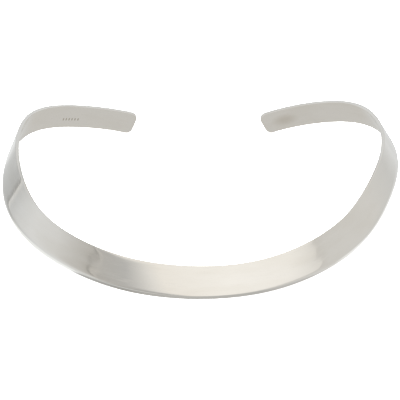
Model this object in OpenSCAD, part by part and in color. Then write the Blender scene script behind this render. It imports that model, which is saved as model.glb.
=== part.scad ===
// Collar necklace: one rigid open band of polished silver, worn round the neck.
// Millimetres, +Z up. It lies as on a table, on its front bottom edge and its two tips.
// The front centre faces -Y, the opening faces +Y, and the origin is the middle of its footprint.

/* [Band] */
// Width of the band at the front centre
front_width = 12.3; // [9.6:0.1:16]
// Width that the arms would have at the front without its swell
arm_width = 10.4; // [8.8:0.1:12]
// Width of the band at the tips
tip_width = 8.8; // [7:0.1:10]
// Share of each arm over which the swell of the front dies away
swell_reach = 0.36; // [0.2:0.01:0.6]
// Thickness at the front centre
front_thick = 1.8; // [1.4:0.1:3]
// Thickness at the tips
tip_thick = 1.4; // [1.2:0.1:2.4]
// Angle from the front centre to each tip, seen from above
arm_angle = 153.1; // [140:0.1:160]

/* [Edges and tips] */
// How far the rounding of an edge reaches in across the face
edge_reach = 1; // [0.4:0.1:1.4]
// How deep the rounding of an edge goes into the thickness, on each face
edge_depth = 0.5; // [0.2:0.05:0.55]
// Corner radius of each tip on its upper edge
tip_upper_round = 3; // [1:0.1:3.6]
// Corner radius of each tip on its lower edge
tip_lower_round = 2.2; // [1:0.1:3]
// Slant of the tips: how far from square the end is cut, in degrees
tip_slant = 9; // [0:1:12]
// Length over which the slant of a tip runs out along the band
slant_reach = 14; // [10:1:30]

/* [Fineness] */
// Rings of points between two stations of the band
rings_per_station = 6; // [3:1:8]
// Flat pieces in each rounded edge corner
corner_steps = 3; // [2:1:4]

/* [Hidden] */

// Stations of the band at equal angles, from the left tip over the front centre to the right tip.
// The columns are the distance of the band's middle line from the upright axis of the neck,
// its height above the table, and the lean of the face: 0 lies flat, 90 stands upright.
// The band runs smoothly close by these stations. It was bent by hand, so its two arms differ a little.
RADIUS = 0;
HEIGHT = 1;
LEAN = 2;
stations = [
    [54.25, 3.75, 87],
    [64, 9, 82],
    [67.75, 16, 78],
    [66.25, 15.5, 65],
    [66, 10, 43],
    [66, 6.5, 28],
    [66.25, 5, 23.5],
    [66.75, 3.25, 26],
    [67.5, 3, 21],
    [68, 3.5, 22.5],
    [66.75, 5.75, 25.5],
    [63.75, 6.25, 35.5],
    [64.25, 10.5, 47],
    [68.5, 14.75, 54.5],
    [68.25, 17.25, 66],
    [62.75, 10.5, 80],
    [52.5, 3.75, 85.5],
];
last = len(stations) - 1;
front = last / 2;

// A straight run on past both ends lets the smooth curve start and stop at the end stations
run_on = concat(
    [2 * stations[0] - stations[1]],
    stations,
    [2 * stations[last] - stations[last - 1]]
);

// Weights of a smooth cubic curve for the share f of the way between two stations
function weights(f) = [
    pow(1 - f, 3),
    3 * pow(f, 3) - 6 * pow(f, 2) + 4,
    -3 * pow(f, 3) + 3 * pow(f, 2) + 3 * f + 1,
    pow(f, 3)
] / 6;

// The smoothed station at place t, counted in stations from the left tip
function station(t) =
    let (i = min(max(floor(t), 0), last - 1))
    weights(t - i) * [for (k = [0:3]) run_on[i + k]];

// Share of its arm that a place lies away from the front centre: 0 at the front, 1 at a tip
function share(t) = abs(t - front) / front;

// Middle line of the band
function middle(t) =
    let (s = station(t), turn = arm_angle * (t - front) / front)
    [s[RADIUS] * sin(turn), -s[RADIUS] * cos(turn), s[HEIGHT]];

// Unit vector along the band, towards the right tip
function unit(v) = v / norm(v);
function along(t) = unit(middle(t + 0.01) - middle(t - 0.01));

// Level direction out of the ring, and the direction square to it and to the band
function outward(t) = let (a = along(t)) unit([a[1], -a[0], 0]);
function upward(t) = cross(outward(t), along(t));

// Across the face from its upper inner edge to its lower outer edge, and out of the outer face
function across(t) = let (lean = station(t)[LEAN]) outward(t) * cos(lean) - upward(t) * sin(lean);
function out_of_face(t) = let (lean = station(t)[LEAN]) outward(t) * sin(lean) + upward(t) * cos(lean);

// Width and thickness along the band
function band_width(t) =
    let (s = share(t))
    tip_width + (arm_width - tip_width) * (1 - s)
    + (front_width - arm_width) * exp(-pow(s / swell_reach, 2));
function band_thick(t) = tip_thick + (front_thick - tip_thick) * pow(cos(90 * share(t)), 2);

// How far a rounded corner of radius r has drawn in, at distance s from the end of the band
function drawn_in(s, r) = s >= r ? 0 : r - sqrt(pow(r, 2) - pow(r - s, 2));

// Millimetres of band to one station, near each tip
step_length = [for (t = [0, last - 0.1]) norm(middle(t + 0.1) - middle(t)) * 10];

// Distance in millimetres from a place to the nearer tip, true where the tips are rounded
function to_tip(t) = t < front ? t * step_length[0] : (last - t) * step_length[1];

// Half section at one corner: points on a quarter ellipse, from the flat face to the edge
corner = [for (k = [0:corner_steps]) let (a = 90 * k / corner_steps) [1 - sin(a), 1 - cos(a)]];

// Share of the thickness that each face loses where the tips are rounded off
end_thinning = 0.2;

// Most of the half thickness that the rounding of an edge may take
edge_share = 0.75;

// Section of the band at place t as [across, out of face] pairs, once round
function section(t) =
    let (
        s = to_tip(t),
        upper = -band_width(t) / 2 + drawn_in(s, tip_upper_round),
        lower = band_width(t) / 2 - drawn_in(s, tip_lower_round),
        half = band_thick(t) / 2 - end_thinning * band_thick(t) * drawn_in(s, edge_reach) / edge_reach,
        depth = min(edge_depth, half * edge_share),
        n = corner_steps
    )
    concat(
        [for (k = [0:n]) [lower - edge_reach * corner[k][0], half - depth * corner[k][1]]],
        [for (k = [n:-1:0]) [lower - edge_reach * corner[k][0], -half + depth * corner[k][1]]],
        [for (k = [0:n]) [upper + edge_reach * corner[k][0], -half + depth * corner[k][1]]],
        [for (k = [n:-1:0]) [upper + edge_reach * corner[k][0], half - depth * corner[k][1]]]
    );

// The slant pushes the upper side of a tip on and holds the lower side back
function slant(t) =
    tan(tip_slant) * max(0, 1 - to_tip(t) / slant_reach) * (t < front ? 1 : -1);

// One ring of points round the band
function ring(t) =
    let (m = middle(t), a = along(t), c = across(t), o = out_of_face(t), sl = slant(t))
    [for (p = section(t)) m + c * p[0] + o * p[1] + a * sl * p[0]];

// Places of the rings: close together round the corners of the tips, even in between
tip_steps = 7;
tip_places = [for (k = [0:tip_steps - 1]) tip_upper_round * (1 - cos(90 * k / tip_steps))];
inner_count = rings_per_station * last;
places = concat(
    [for (s = tip_places) s / step_length[0]],
    [for (k = [1:inner_count - 1]) let (t = k / rings_per_station) if (to_tip(t) > tip_upper_round) t],
    [for (k = [tip_steps - 1:-1:0]) last - tip_places[k] / step_length[1]]
);

rings = [for (t = places) ring(t)];
all_points = [for (r = rings) for (p = r) p];
sides = len(rings[0]);
low = [for (i = [0:2]) min([for (p = all_points) p[i]])];
high = [for (i = [0:2]) max([for (p = all_points) p[i]])];

// Triangles between two rings, and a flat fan over each end
wall_faces = [
    for (r = [0:len(rings) - 2])
    for (k = [0:sides - 1])
    let (a = r * sides + k, b = r * sides + (k + 1) % sides)
    each [[a, b + sides, b], [a, a + sides, b + sides]]
];
left_cap = [for (k = [1:sides - 2]) [0, k, k + 1]];
right_start = (len(rings) - 1) * sides;
right_cap = [for (k = [1:sides - 2]) [right_start, right_start + k + 1, right_start + k]];

module collar_band() {
    color("silver")
    translate([-(low[0] + high[0]) / 2, -(low[1] + high[1]) / 2, -low[2]])
    polyhedron(points = all_points, faces = concat(wall_faces, left_cap, right_cap), convexity = 6);
}

collar_band();
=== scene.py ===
"""Rigid open collar of polished silver, on a white table under soft studio light.

Metres, +Z up. The front centre faces -Y, and the opening between the two tips faces +Y.
"""

import math

import bpy
import numpy as np
from mathutils import Matrix, Vector


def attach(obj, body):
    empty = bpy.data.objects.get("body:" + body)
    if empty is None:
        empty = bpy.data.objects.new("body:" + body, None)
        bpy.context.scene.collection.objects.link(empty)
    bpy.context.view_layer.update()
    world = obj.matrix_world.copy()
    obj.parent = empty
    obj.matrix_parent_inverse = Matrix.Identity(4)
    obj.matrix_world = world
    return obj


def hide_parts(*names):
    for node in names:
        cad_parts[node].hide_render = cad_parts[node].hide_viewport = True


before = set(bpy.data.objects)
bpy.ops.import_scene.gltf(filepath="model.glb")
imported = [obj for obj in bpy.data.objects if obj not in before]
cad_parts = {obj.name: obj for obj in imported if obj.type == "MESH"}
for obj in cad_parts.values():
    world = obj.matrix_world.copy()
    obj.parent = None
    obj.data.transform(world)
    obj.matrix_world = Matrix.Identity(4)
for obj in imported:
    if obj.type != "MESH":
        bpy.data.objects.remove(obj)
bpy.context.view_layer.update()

MM = 0.001

# Band: the whole collar is one strip of sterling silver, hammered and filed to a taper, with its
# edges rounded over. It was bent round a former by hand, nearly flat in front and upright behind,
# so its two arms differ a little. Nothing is joined to it: it springs open to go round the neck.

# Stations at equal angles, from the left tip over the front centre to the right tip.
# Columns: distance of the middle line from the neck's axis, height above the table (both mm),
# and lean of the face in degrees, where 0 lies flat and 90 stands upright.
STATIONS = np.array([
    [54.25, 3.75, 87],
    [64, 9, 82],
    [67.75, 16, 78],
    [66.25, 15.5, 65],
    [66, 10, 43],
    [66, 6.5, 28],
    [66.25, 5, 23.5],
    [66.75, 3.25, 26],
    [67.5, 3, 21],
    [68, 3.5, 22.5],
    [66.75, 5.75, 25.5],
    [63.75, 6.25, 35.5],
    [64.25, 10.5, 47],
    [68.5, 14.75, 54.5],
    [68.25, 17.25, 66],
    [62.75, 10.5, 80],
    [52.5, 3.75, 85.5],
])

# Places are counted in stations: the right tip, the front centre, and a step to measure slopes by.
# From the front centre each arm turns by the arm angle round the neck's axis.
LAST = len(STATIONS) - 1
FRONT = LAST / 2
SLOPE_STEP = 0.01
ARM_ANGLE = math.radians(153.1)

# The strip's widths and thicknesses in mm, and how much of an arm the wider front reaches over
FRONT_WIDTH, ARM_WIDTH, TIP_WIDTH = 12.3, 10.4, 8.8
SWELL_REACH = 0.36
FRONT_THICK, TIP_THICK = 1.8, 1.4

# The tips' corner radii, and the slope of their slanting cut with the length that it eases over
TIP_UPPER_ROUND, TIP_LOWER_ROUND = 3.0, 2.2
TIP_SLANT, SLANT_REACH = math.tan(math.radians(9)), 14.0


def station(place):
    """Radius, height and lean at each place, counted in stations from the left tip.

    The uniform cubic B-spline of the table, run on straight by one station past each end."""
    run_on = np.vstack([2 * STATIONS[0] - STATIONS[1], STATIONS, 2 * STATIONS[-1] - STATIONS[-2]])
    first = np.clip(np.floor(place), 0, LAST - 1).astype(int)
    f = place - first
    weights = [(1 - f) ** 3, 3 * f**3 - 6 * f**2 + 4, -3 * f**3 + 3 * f**2 + 3 * f + 1, f**3]
    return sum(w[:, None] * run_on[first + k] for k, w in enumerate(weights)) / 6


def middle(place):
    """Middle line: a point at the station's radius and height, turned round the neck's axis by
    its share of the arm angle, where no turn is the front centre."""
    radius, height, _ = station(place).T
    turn = ARM_ANGLE * (place - FRONT) / FRONT
    return np.stack([radius * np.sin(turn), -radius * np.cos(turn), height], axis=1)


def unit(v):
    """Each row divided by its own length."""
    return v / np.linalg.norm(v, axis=1)[:, None]


def band_axes(place):
    """Unit vectors along the band, across its face towards the lower outer edge, and out of its
    outer face: the level outward and the upward direction, turned by the lean about the band."""
    along = unit(middle(place + SLOPE_STEP) - middle(place - SLOPE_STEP))
    outward = unit(np.stack([along[:, 1], -along[:, 0], 0 * place], axis=1))
    upward = np.cross(outward, along)
    lean = np.radians(station(place)[:, 2])[:, None]
    across = outward * np.cos(lean) - upward * np.sin(lean)
    out = outward * np.sin(lean) + upward * np.cos(lean)
    return along, across, out


def drawn_in(distance, radius):
    """How far a rounded corner of that radius has drawn in, at a distance from the band's end."""
    s = np.minimum(distance, radius)
    return radius - np.sqrt(radius**2 - (radius - s) ** 2)


# A short row of plain round-ended punch marks inside the left arm. All in mm: the gap from mark to
# mark, the first mark's place from the front centre and off the middle line, and the marks' half
# lengths along and across the band.
PUNCH_COUNT, PUNCH_GAP, PUNCH_DEPTH = 6, 1.3, 0.12
PUNCH_START, PUNCH_ACROSS = -157.2, 1.0
PUNCH_LONG, PUNCH_WIDE = 0.32, 0.5

# Rings of the mesh along the band, closer together round the tips' corners and at the marks
MEASURE_POINTS = 6401
RING_GAP, PUNCH_RING_GAP, TIP_RINGS = 0.4, 0.1, 22
measure = np.linspace(0, LAST, MEASURE_POINTS)
short_lengths = np.linalg.norm(np.diff(middle(measure), axis=0), axis=1)
length_so_far = np.r_[0, np.cumsum(short_lengths)]
length = length_so_far[-1]
near_tip = TIP_UPPER_ROUND * (1 - np.cos(np.linspace(0, math.pi / 2, TIP_RINGS)))
between = np.arange(TIP_UPPER_ROUND + RING_GAP, length - TIP_UPPER_ROUND - RING_GAP / 2, RING_GAP)
marks_start = length / 2 + PUNCH_START - 2 * PUNCH_LONG
marks_stop = length / 2 + PUNCH_START + (PUNCH_COUNT - 1) * PUNCH_GAP + 2 * PUNCH_LONG
at_marks = np.arange(marks_start, marks_stop, PUNCH_RING_GAP)
between = between[(between < marks_start - PUNCH_RING_GAP) | (between > marks_stop)]
run = np.sort(np.r_[near_tip, between, at_marks, length - near_tip])
place = np.interp(run, length_so_far, measure)
arm_share = np.abs(place - FRONT) / FRONT
to_tip = np.minimum(run, length - run)
from_front = run - length / 2

width = (
    TIP_WIDTH + (ARM_WIDTH - TIP_WIDTH) * (1 - arm_share)
    + (FRONT_WIDTH - ARM_WIDTH) * np.exp(-((arm_share / SWELL_REACH) ** 2))
)
thick = TIP_THICK + (FRONT_THICK - TIP_THICK) * np.cos(math.pi / 2 * arm_share) ** 2

# Section, once round: the outer face from its upper to its lower edge, the lower rim, the inner
# face back again, and the upper rim. Each corner is a quarter of an ellipse, given by its reach
# across the face and its depth in mm. The polishing wheel has rolled over the lower outer edge,
# more along the arms than in front, and has worn the upper one most at the left of the front.
INNER_EDGE = 0.4, 0.15
LOWER_EDGE, LOWER_EDGE_ROLLED = (0.9, 0.3), (1.6, 0.6)
UPPER_EDGE, UPPER_EDGE_WORN = (0.3, 0.15), (1.8, 0.3)
ROLL_START, ROLL_FULL = 33.0, 62.0
WORN_PLACE, WORN_REACH = -26.0, 13.0
END_REACH, END_DEPTH = 0.6, 0.3
CROWN = 0.03
FACE_STEPS, CORNER_STEPS, RIM_STEPS = 16, 8, 2


def changed(plain, full, share):
    """A corner's reach and depth at each ring, changed from plain to full by the share there."""
    return [p + (f - p) * share[:, None] for p, f in zip(plain, full)]


rolled = np.clip((np.abs(from_front) - ROLL_START) / (ROLL_FULL - ROLL_START), 0, 1)
rolled = rolled**2 * (3 - 2 * rolled)
worn = np.exp(-(((from_front - WORN_PLACE) / WORN_REACH) ** 2))
outer_lower = changed(LOWER_EDGE, LOWER_EDGE_ROLLED, rolled)
outer_upper = changed(UPPER_EDGE, UPPER_EDGE_WORN, worn)

# Points across each face from -1 to 1. On the inner face they lie closer at the punch marks.
turn = np.linspace(0, math.pi / 2, CORNER_STEPS + 1)
outer_steps = np.linspace(-1, 1, FACE_STEPS + 1)[1:-1]
below_marks, at_marks_across = [-0.85, -0.7, -0.57, -0.48], np.linspace(-0.42, -0.06, 15)
above_marks = outer_steps[outer_steps > at_marks_across[-1]]
inner_steps = np.r_[below_marks, at_marks_across, above_marks]
rim = np.linspace(0, 1, RIM_STEPS + 1)[1:-1]


def section(width, thick, to_tip, outer_upper, outer_lower):
    """Offsets across the face and out of it, for all rings and all points once round.

    The half thickness falls by a quarter ellipse over each shoulder and by a parabola over the
    crowned faces, and by another quarter ellipse towards the ends of the band."""
    upper = (-width / 2 + drawn_in(to_tip, TIP_UPPER_ROUND))[:, None]
    lower = (width / 2 - drawn_in(to_tip, TIP_LOWER_ROUND))[:, None]
    half = (thick / 2 - END_DEPTH * drawn_in(to_tip, END_REACH) / END_REACH)[:, None]

    def corner(edge, inward, shape):
        """The quarter ellipse from a face round to its rim, shallower as the band thins out."""
        reach, depth = shape
        room = np.minimum(1, half / thick[:, None] * 2)
        return edge + inward * reach * (1 - np.sin(turn)), half - room * depth * (1 - np.cos(turn))

    def face(start, stop, steps):
        """Places between two edges, where step -1 is the first edge and step 1 the second."""
        return (start + stop) / 2 + (stop - start) / 2 * steps

    def wall(start, stop):
        """Places down a rim, at even shares of the way between its two corners."""
        return start + (stop - start) * rim

    # Corners: outer lower and outer upper, inner lower and inner upper
    ol, ou = corner(lower, -1, outer_lower), corner(upper, 1, outer_upper)
    il, iu = corner(lower, -1, INNER_EDGE), corner(upper, 1, INNER_EDGE)
    across = np.concatenate([
        face(ou[0][:, :1], ol[0][:, :1], outer_steps), ol[0], lower + 0 * rim, il[0][:, ::-1],
        face(il[0][:, :1], iu[0][:, :1], inner_steps), iu[0], upper + 0 * rim, ou[0][:, ::-1],
    ], axis=1)
    out = np.concatenate([
        half + 0 * outer_steps, ol[1], wall(ol[1][:, -1:], -il[1][:, -1:]), -il[1][:, ::-1],
        -half + 0 * inner_steps, -iu[1], wall(-iu[1][:, -1:], ou[1][:, -1:]), ou[1][:, ::-1],
    ], axis=1)
    crown = CROWN * (2 * across / width[:, None]) ** 2
    return across, out * (1 - crown / half)


# Hammer and file leave the outer face very slightly uneven, a few hundredths of a millimetre.
# Columns: place along the band from the front centre and across it, reach along and across (all
# mm), and the slope along the band at that place, in thousandths.
ALONG, ACROSS, LONG, WIDE, SLOPE = range(5)
THOUSANDTHS = 1000
WAVES = np.array([
    [-38.3, -5.2, 3.0, 1.0, -8.0],
    [-36.0, -2.0, 3.0, 1.4, 12.0],
    [-36.8, 0.9, 3.0, 1.1, -5.0],
    [-36.4, 3.3, 3.0, 1.2, -11.0],
    [-34.6, 5.5, 3.0, 0.9, 10.0],
    [42.8, -4.6, 3.0, 1.0, -14.0],
    [42.4, -2.2, 3.0, 0.8, 6.0],
    [41.0, -0.3, 3.0, 0.8, -8.0],
    [41.2, 2.4, 3.0, 1.4, 22.0],
    [38.8, 5.5, 3.0, 1.0, -12.0],
])


def waves(along, across):
    """Height of the unevenness: each slope times the distance along from its place, dying away
    both ways as a bell curve."""
    height = 0 * across
    for wave in WAVES:
        step, aside = along - wave[ALONG], across - wave[ACROSS]
        fade = np.exp(-((step / wave[LONG]) ** 2) - (aside / wave[WIDE]) ** 2)
        height += wave[SLOPE] / THOUSANDTHS * step * fade
    return height


def punched(along, across):
    """Depth of the punch marks: flat-bottomed bells, the fourth power of the distance from the
    middle of the nearest mark, counted in its half length and half width."""
    nearest = np.clip(np.round((along - PUNCH_START) / PUNCH_GAP), 0, PUNCH_COUNT - 1)
    step = (along - PUNCH_START - nearest * PUNCH_GAP) / PUNCH_LONG
    aside = (across - PUNCH_ACROSS) / PUNCH_WIDE
    return PUNCH_DEPTH * np.exp(-(step**4) - aside**4)


def add_surface(name, rings):
    """A mesh object of a grid of points, rings by points round, closed round and at both ends.

    Each end is a fan of triangles round the middle of its last ring."""
    count, sides, _ = rings.shape
    ends = np.stack([rings[0].mean(axis=0), rings[-1].mean(axis=0)])
    points = np.concatenate([rings.reshape(-1, 3), ends])
    here = np.arange(count * sides).reshape(count, sides)
    there = np.roll(here, -1, axis=1)
    quads = np.stack([here[:-1], there[:-1], there[1:], here[1:]], axis=-1).reshape(-1, 4)
    first = np.stack([there[0], here[0], np.full(sides, count * sides)], axis=1)
    final = np.stack([here[-1], there[-1], np.full(sides, count * sides + 1)], axis=1)
    mesh = bpy.data.meshes.new(name)
    mesh.from_pydata(points.tolist(), [], quads.tolist() + first.tolist() + final.tolist())
    mesh.update()
    piece = bpy.data.objects.new(name, mesh)
    bpy.context.scene.collection.objects.link(piece)
    return piece


# The outer share is 1 on the outer face and 0 on the inner one, and changes evenly over the rims.
# The waves lift the outer face, and the marks are sunk into the inner one.
SHARP_ANGLE = math.radians(40)
across, out = section(width, thick, to_tip, outer_upper, outer_lower)
along = from_front[:, None] + 0 * across
outer_share = (1 + out / out.max(axis=1)[:, None]) / 2
mark_depth = (1 - outer_share) * punched(along, across)
out += outer_share * waves(along, across) + mark_depth
along_dir, across_dir, out_dir = band_axes(place)
side = np.where(place < FRONT, 1.0, -1.0)
slant = TIP_SLANT * np.maximum(0, 1 - to_tip / SLANT_REACH) * side
rings = (
    middle(place)[:, None]
    + across[..., None] * (across_dir + slant[:, None] * along_dir)[:, None]
    + out[..., None] * out_dir[:, None]
)
low, high = rings.min(axis=(0, 1)), rings.max(axis=(0, 1))
shift = -np.array([(low[0] + high[0]) / 2, (low[1] + high[1]) / 2, low[2]])
band = add_surface("silver_band", (rings + shift) * MM)
band.data.shade_smooth()
band.data.set_sharp_from_angle(angle=SHARP_ANGLE)

# Each point keeps its place along, across and out of the band in mm, and how far it is sunk in a
# mark, from 0 to 1, so that the silver's patterns follow the band
band_place = np.zeros((len(band.data.vertices), 3))
band_place[: along.size] = np.stack([along, across, out], axis=2).reshape(-1, 3)
band_place[-2:] = [along[0, 0], 0, 0], [along[-1, 0], 0, 0]
places = band.data.attributes.new("band_place", "FLOAT_VECTOR", "POINT")
places.data.foreach_set("vector", band_place.ravel())
in_marks = np.zeros(len(band.data.vertices))
in_marks[: along.size] = (mark_depth / PUNCH_DEPTH).ravel()
band.data.attributes.new("in_marks", "FLOAT", "POINT").data.foreach_set("value", in_marks)


def add_node(tree, kind, **settings):
    """A node of that kind in the tree, with the given properties set."""
    made = tree.nodes.new(kind)
    for name, value in settings.items():
        setattr(made, name, value)
    return made


def feed(tree, socket, value):
    """Sets an input socket to a value, or links it to another node's output."""
    if isinstance(value, bpy.types.NodeSocket):
        tree.links.new(value, socket)
    else:
        socket.default_value = value


def add_math(tree, operation, *values):
    """The output of a Math node, fed by outputs or numbers."""
    made = add_node(tree, "ShaderNodeMath", operation=operation)
    for k, value in enumerate(values):
        feed(tree, made.inputs[k], value)
    return made.outputs[0]


def add_vector_math(tree, operation, *values):
    """The output of a Vector Math node, which is a number for a length or a dot product."""
    made = add_node(tree, "ShaderNodeVectorMath", operation=operation)
    for k, value in enumerate(values):
        feed(tree, made.inputs[k], value)
    return made.outputs["Value" if operation in ("LENGTH", "DOT_PRODUCT") else "Vector"]


def add_mix(tree, share, under, over):
    """The colour under, changed to the colour over by that share."""
    blend = add_node(tree, "ShaderNodeMix", data_type="RGBA")
    for name, value in (("Factor", share), ("A", under), ("B", over)):
        feed(tree, blend.inputs[name], value)
    return blend.outputs["Result"]


def add_step(tree, value, low, high):
    """A smooth step of the value, from 0 at the low level to 1 at the high one."""
    step = add_node(tree, "ShaderNodeMapRange", interpolation_type="SMOOTHSTEP")
    for name, level in (("Value", value), ("From Min", low), ("From Max", high)):
        feed(tree, step.inputs[name], level)
    return step.outputs["Result"]


# Polished silver: bright and mirror-like, with fine lines along the band from the polishing
# wheel, a few hairline scratches, faint clouds of haze and tarnish, and one old finger mark.
# All patterns follow the band: the attribute holds millimetres along it, across it and out of it.
silver = bpy.data.materials.new("polished_silver")
silver.use_nodes = True
nodes = silver.node_tree
shader = nodes.nodes["Principled BSDF"]
shader.inputs["Metallic"].default_value = 1
where = add_node(nodes, "ShaderNodeAttribute", attribute_name="band_place").outputs["Vector"]


def grain(per_mm, turned, detail, low, high):
    """Noise from 0 to 1, with so many grains to a millimetre along, across and out of the band,
    turned on its face in degrees, and spread to 0 below the low level and 1 above the high one."""
    mapping = add_node(nodes, "ShaderNodeMapping")
    feed(nodes, mapping.inputs["Vector"], where)
    feed(nodes, mapping.inputs["Rotation"], (0, 0, math.radians(turned)))
    feed(nodes, mapping.inputs["Scale"], per_mm)
    noise = add_node(nodes, "ShaderNodeTexNoise")
    feed(nodes, noise.inputs["Vector"], mapping.outputs["Vector"])
    feed(nodes, noise.inputs["Scale"], 1)
    feed(nodes, noise.inputs["Detail"], detail)
    return add_step(nodes, noise.outputs["Fac"], low, high)


wheel_lines = grain((0.04, 5.0, 5.0), 0, 3, 0.25, 0.75)
hairlines = add_math(
    nodes, "MAXIMUM",
    grain((0.10, 7.0, 1.0), 14, 0, 0.69, 0.74),
    grain((0.14, 6.0, 1.0), -31, 0, 0.70, 0.75),
)
haze = grain((0.07, 0.16, 0.3), 0, 2, 0.42, 0.72)
tarnish = grain((0.05, 0.20, 0.5), 8, 4, 0.40, 0.75)

# Finger mark on the inner face near the right tip: its middle and half sizes in mm. It fades in
# from its rim at 1 to its core, as shares of the half sizes.
FINGER_MIDDLE, FINGER_SIZE = (171.0, 0.3, -0.7), (6.5, 3.2, 0.6)
FINGER_RIM, FINGER_CORE = 1.0, 0.1
from_finger = add_vector_math(nodes, "SUBTRACT", where, FINGER_MIDDLE)
in_sizes = add_vector_math(nodes, "DIVIDE", from_finger, FINGER_SIZE)
finger = add_step(nodes, add_vector_math(nodes, "LENGTH", in_sizes), FINGER_RIM, FINGER_CORE)

# Colours of the clean, tarnished and fingered silver, and of the old polish left in the marks
SILVER, TARNISHED = (0.92, 0.91, 0.89, 1), (0.89, 0.875, 0.845, 1)
FINGERED, BLACKENED = (0.77, 0.74, 0.69, 1), (0.60, 0.57, 0.51, 1)
marks = add_node(nodes, "ShaderNodeAttribute", attribute_name="in_marks").outputs["Fac"]
colour = add_mix(nodes, tarnish, SILVER, TARNISHED)
colour = add_mix(nodes, finger, colour, FINGERED)
colour = add_mix(nodes, marks, colour, BLACKENED)
feed(nodes, shader.inputs["Base Color"], colour)

# Roughness of the bare polish, and what haze, wheel lines and scratches each add to it
POLISH_ROUGH, HAZE_ROUGH, WHEEL_ROUGH, SCRATCH_ROUGH = 0.035, 0.045, 0.02, 0.12
satin = add_math(nodes, "MULTIPLY_ADD", haze, HAZE_ROUGH, POLISH_ROUGH)
satin = add_math(nodes, "MULTIPLY_ADD", wheel_lines, WHEEL_ROUGH, satin)
satin = add_math(nodes, "MULTIPLY_ADD", hairlines, SCRATCH_ROUGH, satin)
feed(nodes, shader.inputs["Roughness"], satin)

# Relief: the wheel lines' height, and a scratch's against it
LINE_HEIGHT, SCRATCH_RELIEF = 0.0003 * MM, -1.5
relief = add_math(nodes, "MULTIPLY_ADD", hairlines, SCRATCH_RELIEF, wheel_lines)
bump = add_node(nodes, "ShaderNodeBump")
feed(nodes, bump.inputs["Strength"], 1)
feed(nodes, bump.inputs["Distance"], LINE_HEIGHT)
feed(nodes, bump.inputs["Height"], relief)
feed(nodes, shader.inputs["Normal"], bump.outputs["Normal"])
band.data.materials.append(silver)
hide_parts("collar_band")
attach(band, "root")

# Table and light: a white table lit from above until its shadows wash out, and a pale studio
# round it whose strips of light and shade run from front to back, overhead and down both sides.
# The silver mirrors neither this table nor the wash of light, but what is given for it below.

# Half the table's side in metres, its paper and faint glow, and the wash of light over it
FLOOR_HALF = 20.0
PAPER, PAPER_ROUGH = (0.85, 0.85, 0.85, 1), 0.9
PAPER_GLOW, GLOW_STRENGTH = (1, 1, 1, 1), 0.9
WASH_STRENGTH, WASH_SPREAD = 12.0, math.radians(120)


def add_floor(name):
    """A level square round the origin at the table's height, which is no part of the object."""
    corners = [(-1, -1), (1, -1), (1, 1), (-1, 1)]
    points = [(FLOOR_HALF * right, FLOOR_HALF * back, 0) for right, back in corners]
    mesh = bpy.data.meshes.new(name)
    mesh.from_pydata(points, [], [(0, 1, 2, 3)])
    sheet = bpy.data.objects.new(name, mesh)
    bpy.context.scene.collection.objects.link(sheet)
    return sheet


floor = add_floor("white_table")
floor.visible_glossy = False
white = bpy.data.materials.new("white_paper")
white.use_nodes = True
paper = white.node_tree.nodes["Principled BSDF"]
paper.inputs["Base Color"].default_value = PAPER
paper.inputs["Roughness"].default_value = PAPER_ROUGH
paper.inputs["Emission Color"].default_value = PAPER_GLOW
paper.inputs["Emission Strength"].default_value = GLOW_STRENGTH
floor.data.materials.append(white)

wash = bpy.data.objects.new("overhead_wash", bpy.data.lights.new("overhead_wash", "SUN"))
wash.data.energy = WASH_STRENGTH
wash.data.angle = WASH_SPREAD
wash.visible_glossy = False
bpy.context.scene.collection.objects.link(wash)


# The studio's light has a little less red than green, and this much more red for its warmth
COOL_RED, RED_FOR_WARMTH = 0.98, 0.8


def tone(brightness, warmth):
    """Light of that brightness: a very pale green-grey, with more red and less blue as the
    warmth grows."""
    red, blue = COOL_RED + RED_FOR_WARMTH * warmth, 1 - warmth
    return (brightness * red, brightness, brightness * blue, 1)


def add_ramp(tree, value, rows):
    """Light that follows a table of value, brightness and warmth, straight between its rows."""
    first, final = rows[0][0], rows[-1][0]
    ramp = add_node(tree, "ShaderNodeValToRGB")
    share = add_math(tree, "MULTIPLY_ADD", value, 1 / (final - first), -first / (final - first))
    feed(tree, ramp.inputs[0], share)
    stops = ramp.color_ramp.elements
    while len(stops) < len(rows):
        stops.new(0.5)
    for stop, (level, brightness, warmth) in zip(stops, rows):
        stop.position = (level - first) / (final - first)
        stop.color = tone(brightness, warmth)
    return ramp.outputs["Color"]


# The table as the silver mirrors it, close to the collar only: a sheet glowing white beside and in
# the middle, with painted shade under the front and between the arms where the collar's shadow
# would fall. Columns: place in mm, brightness and warmth. The place is counted from the middle to
# the right, and between the arms from the neck's axis.
UNDER_FRONT = [
    (-60, 1.00, 0.01), (-44, 1.00, 0.01), (-40, 0.44, 0.03), (-24, 0.38, 0.05), (-16, 0.46, 0.05),
    (-8, 0.50, 0.04), (12, 0.50, 0.04), (20, 0.48, 0.04), (26, 0.53, 0.04), (36, 0.55, 0.04),
    (46, 0.80, 0.03), (60, 0.95, 0.02),
]
INSIDE_FRONT = [
    (-60, 0.45, 0.03), (-38, 0.45, 0.03), (-26, 1.00, 0.03),
    (26, 1.00, 0.03), (38, 0.50, 0.03), (60, 0.50, 0.03),
]
BETWEEN_ARMS = [
    (40, 0.575, 0.055), (62, 0.58, 0.055), (70, 0.62, 0.03),
    (76, 0.67, 0.02), (82, 0.90, 0.01), (90, 0.95, 0.01),
]

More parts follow.
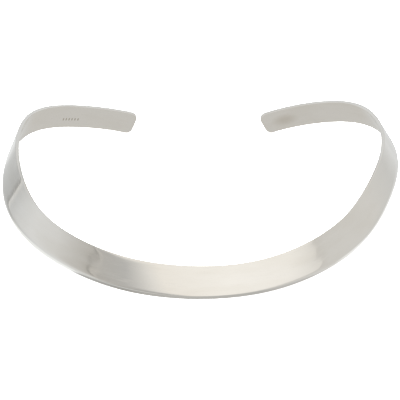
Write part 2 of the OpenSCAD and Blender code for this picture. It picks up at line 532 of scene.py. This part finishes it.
# Where one table gives way to the next, from the first place to the second: outwards under the
# band, backwards from the front to the arms, and outwards where the mirrored table ends (mm)
UNDER_BAND, TO_ARMS, TABLE_END = (60, 67), (-5, 25), (78, 90)
# A sheet seen only in the silver, which glows with these tables' painted light and painted shade
mirrored = add_floor("mirrored_table")
mirrored.visible_camera = mirrored.visible_diffuse = mirrored.visible_shadow = False
painted_table_reflection = bpy.data.materials.new("table_in_silver_painted_shade")
painted_table_reflection.use_nodes = True
sheet = painted_table_reflection.node_tree
sheet.nodes.clear()
here = add_node(sheet, "ShaderNodeTexCoord").outputs["Object"]
in_mm = add_vector_math(sheet, "MULTIPLY", here, (1 / MM, 1 / MM, 1 / MM))
centred = add_vector_math(sheet, "SUBTRACT", in_mm, (shift[0], shift[1], 0))
from_axis = add_vector_math(sheet, "LENGTH", centred)
spot = add_node(sheet, "ShaderNodeSeparateXYZ")
feed(sheet, spot.inputs[0], centred)
inside_light = add_ramp(sheet, spot.outputs["X"], INSIDE_FRONT)
under_light = add_ramp(sheet, spot.outputs["X"], UNDER_FRONT)
arms_light = add_ramp(sheet, from_axis, BETWEEN_ARMS)
# Painted shade: the darker under-front table takes over under the band, where its shadow would
# fall
front_light = add_mix(sheet, add_step(sheet, from_axis, *UNDER_BAND), inside_light, under_light)
table_light = add_mix(sheet, add_step(sheet, spot.outputs["Y"], *TO_ARMS), front_light, arms_light)
glow = add_node(sheet, "ShaderNodeEmission")
feed(sheet, glow.inputs["Color"], table_light)
clear = add_node(sheet, "ShaderNodeBsdfTransparent")
fading = add_node(sheet, "ShaderNodeMixShader")
feed(sheet, fading.inputs[0], add_step(sheet, from_axis, *TABLE_END))
feed(sheet, fading.inputs[1], glow.outputs[0])
feed(sheet, fading.inputs[2], clear.outputs[0])
ending = add_node(sheet, "ShaderNodeOutputMaterial")
feed(sheet, ending.inputs["Surface"], fading.outputs[0])
mirrored.data.materials.append(painted_table_reflection)

studio = bpy.data.worlds.new("studio")
studio.use_nodes = True
bpy.context.scene.world = studio
tree = studio.node_tree
direction = add_node(tree, "ShaderNodeTexCoord").outputs["Generated"]
parts = add_node(tree, "ShaderNodeSeparateXYZ")
feed(tree, parts.inputs[0], direction)
rightward, _, upward = parts.outputs

# Strips of light and shade round the front-to-back axis. Columns: degrees from straight
# overhead, right side positive; brightness; and warmth. The table is laid over several ramps,
# from split to split, because one ramp would blur its narrow strips.
STRIPS = [
    (-180, 0.72, 0.00), (-145, 0.76, 0.00), (-122, 0.86, 0.00), (-109, 0.66, 0.00),
    (-70, 0.50, 0.01), (-65, 0.36, 0.03), (-64, 0.71, 0.03), (-60, 0.58, 0.01),
    (-51, 0.67, 0.01), (-40, 0.73, 0.02), (-30, 0.68, 0.03), (-20.5, 0.47, 0.07),
    (-20.2, 0.34, 0.07), (-19.7, 0.33, 0.07), (-19.5, 0.59, 0.07), (-18.4, 0.46, 0.06),
    (-14, 0.48, 0.04), (-10, 0.76, 0.06), (-8, 0.85, 0.08), (3, 0.94, 0.06),
    (14, 0.90, 0.06), (24.9, 0.73, 0.06), (25.2, 0.60, 0.06), (30, 0.64, 0.05),
    (56, 0.65, 0.05), (76, 0.61, 0.03), (94, 0.75, 0.01), (180, 0.72, 0.00),
]
SPLITS = (-180, -30, -10, 30, 180)
sweep = add_math(tree, "MULTIPLY", add_math(tree, "ARCTAN2", rightward, upward), 180 / math.pi)
strips = [
    add_ramp(tree, sweep, [row for row in STRIPS if first <= row[0] <= final])
    for first, final in zip(SPLITS, SPLITS[1:])
]
light = strips[0]
for split, strip in zip(SPLITS[1:], strips[1:]):
    light = add_mix(tree, add_math(tree, "GREATER_THAN", sweep, split), light, strip)


def patch(under, azimuth, elevation, inner, outer, colour):
    """The light under it, changed to the colour inside a round patch of the studio.

    The azimuth is 0 towards the camera and 90 to the right; the two radii are in degrees."""
    a, e = math.radians(azimuth), math.radians(elevation)
    middle_of_patch = math.sin(a) * math.cos(e), -math.cos(a) * math.cos(e), math.sin(e)
    nearness = add_vector_math(tree, "DOT_PRODUCT", direction, middle_of_patch)
    rim, core = math.cos(math.radians(outer)), math.cos(math.radians(inner))
    return add_mix(tree, add_step(tree, nearness, rim, core), under, colour)


# Patches on top of the strips. Columns: azimuth, elevation, inner and outer radius (degrees),
# brightness and warmth.
PATCHES = [
    (0, 5, 30, 50, 0.58, 0.04),
    (-52, 58, 6, 15, 0.42, 0.05),
    (-90, 0, 14, 34, 1.00, 0.01),
    (-105, -14, 16, 32, 1.00, 0.01),
    (-105, 13, 8, 16, 0.95, 0.01),
    (-90, 24, 14, 24, 0.88, 0.01),
    (180, 18, 26, 40, 0.69, 0.01),
    (-134, -30, 12, 25, 1.00, 0.01),
    (105, -14, 14, 28, 1.00, 0.01),
    (104, -2, 8, 20, 1.00, 0.01),
    (99, 14, 8, 15, 0.95, 0.01),
    (155, 5, 3, 17, 0.55, 0.02),
    (-171, 8, 5, 18, 0.52, 0.02),
]
for azimuth, elevation, inner, outer, brightness, warmth in PATCHES:
    light = patch(light, azimuth, elevation, inner, outer, tone(brightness, warmth))

# Where the camera looks past the table, it sees plain white
BACKDROP = 1.2, 1.2, 1.2, 1
camera_ray = add_node(tree, "ShaderNodeLightPath").outputs["Is Camera Ray"]
backdrop_or_light = add_mix(tree, camera_ray, light, BACKDROP)
feed(tree, tree.nodes["Background"].inputs["Color"], backdrop_or_light)

bpy.context.scene.view_settings.view_transform = "Standard"

# Camera: a long lens from the front, about 28 degrees above the table, as in the photograph. It
# is aimed at a point in mm from the neck's axis and the table, in front of the collar's middle.
# Its distance, lens and sensor are in mm too, and the nearest and farthest it sees in metres.
CAMERA_RISE, CAMERA_YAW, CAMERA_ROLL = math.radians(28.33), math.radians(0.26), math.radians(-0.56)
CAMERA_AIM, CAMERA_DISTANCE = (0.17, -24.47, 10.0), 600.0
LENS_LENGTH, SENSOR_WIDTH = 158.6, 36
NEAREST, FARTHEST = 0.01, 50
aim = np.array(CAMERA_AIM) + shift
back = np.array([
    math.sin(CAMERA_YAW) * math.cos(CAMERA_RISE),
    -math.cos(CAMERA_YAW) * math.cos(CAMERA_RISE),
    math.sin(CAMERA_RISE),
])
right = np.array([math.cos(CAMERA_YAW), math.sin(CAMERA_YAW), 0])
up = np.cross(back, right)
rolled_right = math.cos(CAMERA_ROLL) * right + math.sin(CAMERA_ROLL) * up
rolled_up = math.cos(CAMERA_ROLL) * up - math.sin(CAMERA_ROLL) * right
eye = aim + back * CAMERA_DISTANCE
lens = bpy.data.cameras.new("studio_camera")
lens.lens, lens.sensor_width = LENS_LENGTH, SENSOR_WIDTH
lens.clip_start, lens.clip_end = NEAREST, FARTHEST
camera = bpy.data.objects.new("studio_camera", lens)
bpy.context.scene.collection.objects.link(camera)
turned = Matrix([rolled_right, rolled_up, back]).transposed().to_4x4()
camera.matrix_world = Matrix.Translation(Vector(eye * MM)) @ turned
bpy.context.scene.camera = camera
